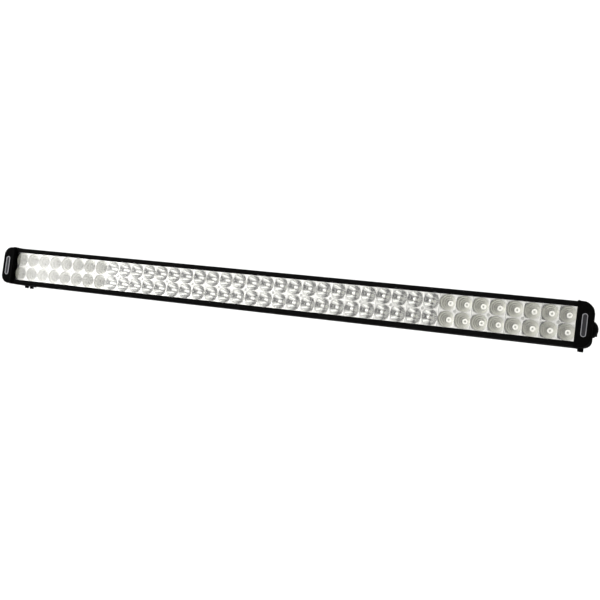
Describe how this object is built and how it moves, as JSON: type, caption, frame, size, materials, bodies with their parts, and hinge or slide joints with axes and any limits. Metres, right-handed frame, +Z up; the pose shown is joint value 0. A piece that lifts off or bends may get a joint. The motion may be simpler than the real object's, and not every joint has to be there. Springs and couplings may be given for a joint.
{
  "type": "led light bar",
  "caption": "Straight two-row LED light bar with finned housing, clear lens, spot and flood reflectors, and tilting end brackets with slotted feet.",
  "frame": {"origin": "midway between the two feet, on the plane their outer faces bear on, level with their slots and with the tilt axis", "axes": "+X along the bar to the end without the cable, +Y towards the vehicle (light leaves towards -Y), +Z up"},
  "size_m": [1.073, 0.0984, 0.0724],
  "materials": {
    "black_extrusion": "satin black powder coat",
    "black_casting": "fine-textured black powder coat",
    "clear_lens": "clear polycarbonate",
    "black_rubber": "matt",
    "grey_silicone": "matt",
    "mirror_spot": "metallised, smooth",
    "mirror_flood": "metallised, ringed",
    "bright_steel": "zinc plated",
    "stainless_steel": "brushed",
    "black_steel": "black, satin",
    "led_board_mask": "black solder mask",
    "green_board": "green solder mask",
    "led_ceramic": "ceramic",
    "led_phosphor": "silicone dome over phosphor",
    "black_plastic": "moulded",
    "orange_plastic": "moulded",
    "ferrite": "sintered",
    "capacitor_can": "satin",
    "red_wire": "PVC",
    "black_wire": "PVC",
    "brass_plated": "plated",
    "badge_grey": "brushed, blank",
    "membrane_white": "woven PTFE"
  },
  "bodies": {
    "bar": {"housing": "black_extrusion", "front_lens": "clear_lens", "lens_seals": "black_rubber", "spot_reflectors": "mirror_spot", "flood_reflectors": "mirror_flood", "reflector_screws": "stainless_steel", "led_boards": "led_board_mask", "thermal_pads": "grey_silicone", "led_packages": "led_ceramic", "led_domes": "led_phosphor", "board_links": "bright_steel", "driver_board": "green_board", "driver_gap_pad": "grey_silicone", "driver_inductors": "ferrite", "driver_capacitors": "capacitor_can", "driver_transistors": "black_plastic", "driver_terminals": "green_board", "driver_screws": "bright_steel", "driver_spacers": "brass_plated", "lead_red": "red_wire", "lead_black": "black_wire", "power_cable": "black_rubber", "gland_body": "black_plastic", "gland_oring": "black_rubber", "gland_nut": "black_plastic", "gland_seal": "black_rubber", "gland_locknut": "black_plastic", "plug_shell": "black_plastic", "plug_boot": "black_rubber", "plug_contacts": "brass_plated", "plug_wedge": "orange_plastic", "vent_plug": "black_plastic", "vent_membrane": "membrane_white", "vent_oring": "black_rubber", "vent_locknut": "black_plastic", "left_end_cap": "black_casting", "right_end_cap": "black_casting", "left_cap_gasket": "black_rubber", "right_cap_gasket": "black_rubber", "cap_screws": "black_steel", "cap_badges": "badge_grey", "pivot_inserts": "brass_plated", "pivot_bushes": "bright_steel", "friction_washers": "black_rubber", "pivot_washers": "black_steel", "pivot_bolts": "black_steel"},
    "left_foot": {"left_bracket": "black_steel"},
    "right_foot": {"right_bracket": "black_steel"}
  },
  "joints": [
    {"name": "left_bracket_tilt", "type": "hinge", "parent": "bar", "child": "left_foot", "pos_m": [-0.5295, -0.059, 0], "axis": [1, 0, 0], "range_deg": [-95, 95]},
    {"name": "right_bracket_tilt", "type": "hinge", "parent": "bar", "child": "right_foot", "pos_m": [0.5295, -0.059, 0], "axis": [1, 0, 0], "range_deg": [-95, 95]}
  ]
}
